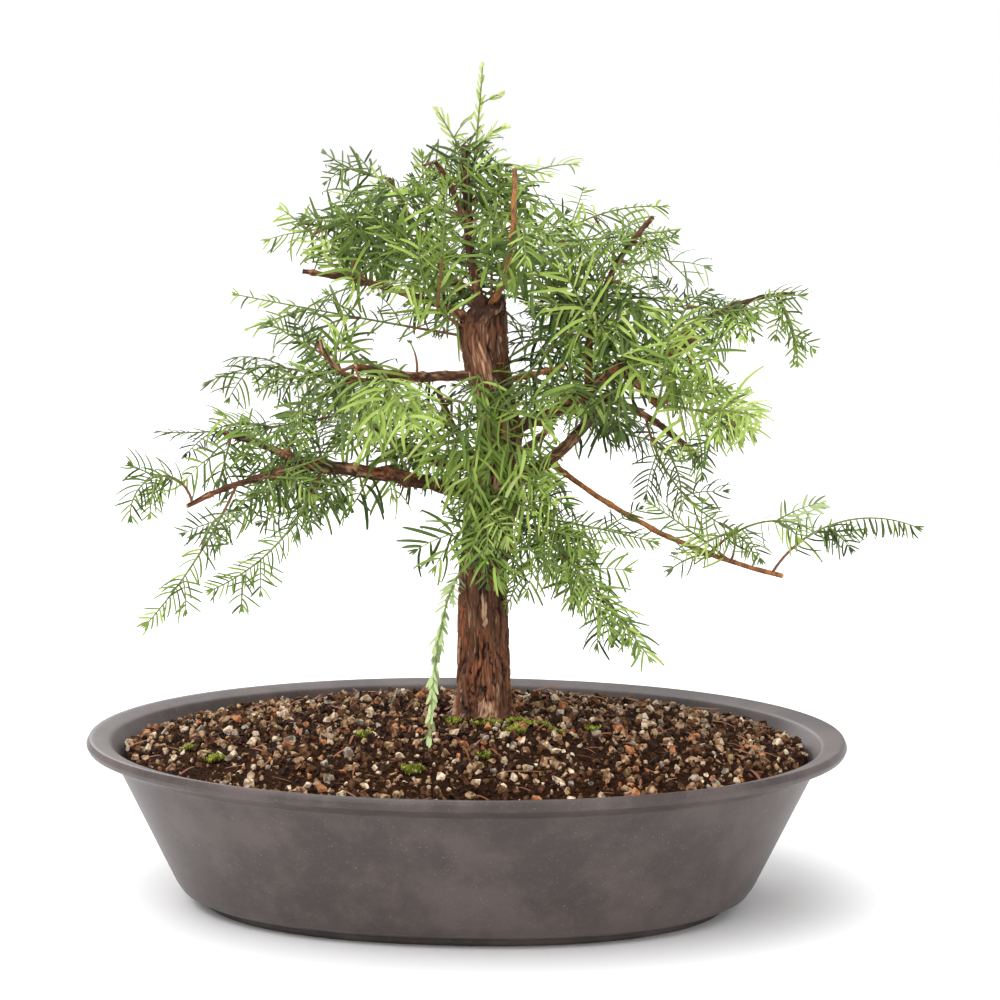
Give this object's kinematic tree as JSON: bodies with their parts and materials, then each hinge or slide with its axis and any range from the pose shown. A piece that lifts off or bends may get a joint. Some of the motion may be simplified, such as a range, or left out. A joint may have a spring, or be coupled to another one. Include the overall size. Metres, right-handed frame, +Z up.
{
  "type": "potted bonsai dawn redwood",
  "caption": "Dawn redwood bonsai: furrowed upright trunk, tapering boughs with cut stubs and feathery flat sprays of soft needles, in a flared oval pot of gravelly soil.",
  "frame": {"origin": "middle of the pot's flat underside", "axes": "+X to the viewer's right along the pot's long side, +Y away from the viewer, +Z up"},
  "size_m": [0.3328, 0.236, 0.3326],
  "materials": {
    "pot": "matt dark taupe with a soft sheen on the rim",
    "soil": "loose dark grit with tan, grey and orange grains",
    "bark": "rough furrowed red-brown bark",
    "bough_bark": "flaking red-brown bark, pale cut ends",
    "young_shoot": "smooth orange-brown young bark",
    "needles": "soft satin leaf"
  },
  "bodies": {
    "root": {"bough_back_high": "bough_bark", "bough_back_left": "bough_bark", "bough_back_low": "bough_bark", "bough_back_right": "bough_bark", "bough_crown_left": "bough_bark", "bough_far_right": "bough_bark", "bough_inner_left": "bough_bark", "bough_lower_left": "bough_bark", "bough_lowest_left": "bough_bark", "bough_middle_left": "bough_bark", "bough_right": "bough_bark", "bough_upper_left": "bough_bark", "foliage_back_high": "needles", "foliage_back_low": "needles", "foliage_back_right": "needles", "foliage_back_top": "needles", "foliage_behind_right": "needles", "foliage_crown_front": "needles", "foliage_crown_left": "needles", "foliage_crown_left_tip": "needles", "foliage_crown_middle": "needles", "foliage_dark_right": "needles", "foliage_far_right": "needles", "foliage_flat_right": "needles", "foliage_fork_left": "needles", "foliage_front": "needles", "foliage_front_high": "needles", "foliage_front_right": "needles", "foliage_long_loop": "needles", "foliage_long_tip": "needles", "foliage_low_left": "needles", "foliage_low_right": "needles", "foliage_lower_left": "needles", "foliage_lowest_left": "needles", "foliage_lowest_tip": "needles", "foliage_middle_left": "needles", "foliage_outer_left": "needles", "foliage_right_end": "needles", "foliage_right_low": "needles", "foliage_shoot_tip": "needles", "foliage_sparse_right": "needles", "foliage_stub_right": "needles", "foliage_thin_left": "needles", "foliage_top": "needles", "foliage_upper_left_tip": "needles", "foliage_upper_right": "needles", "fork_back_right": "bough_bark", "fork_lower_left": "bough_bark", "fork_right_down": "bough_bark", "fork_right_out": "bough_bark", "leader_side_stub": "bough_bark", "leader_stub": "bough_bark", "pot": "pot", "shoot_long_right": "young_shoot", "soil": "soil", "stub_inner_right": "bough_bark", "stub_upper_right": "bough_bark", "trunk": "bark", "twig_middle_left": "bough_bark", "upright_shoot": "young_shoot"}
  },
  "joints": []
}
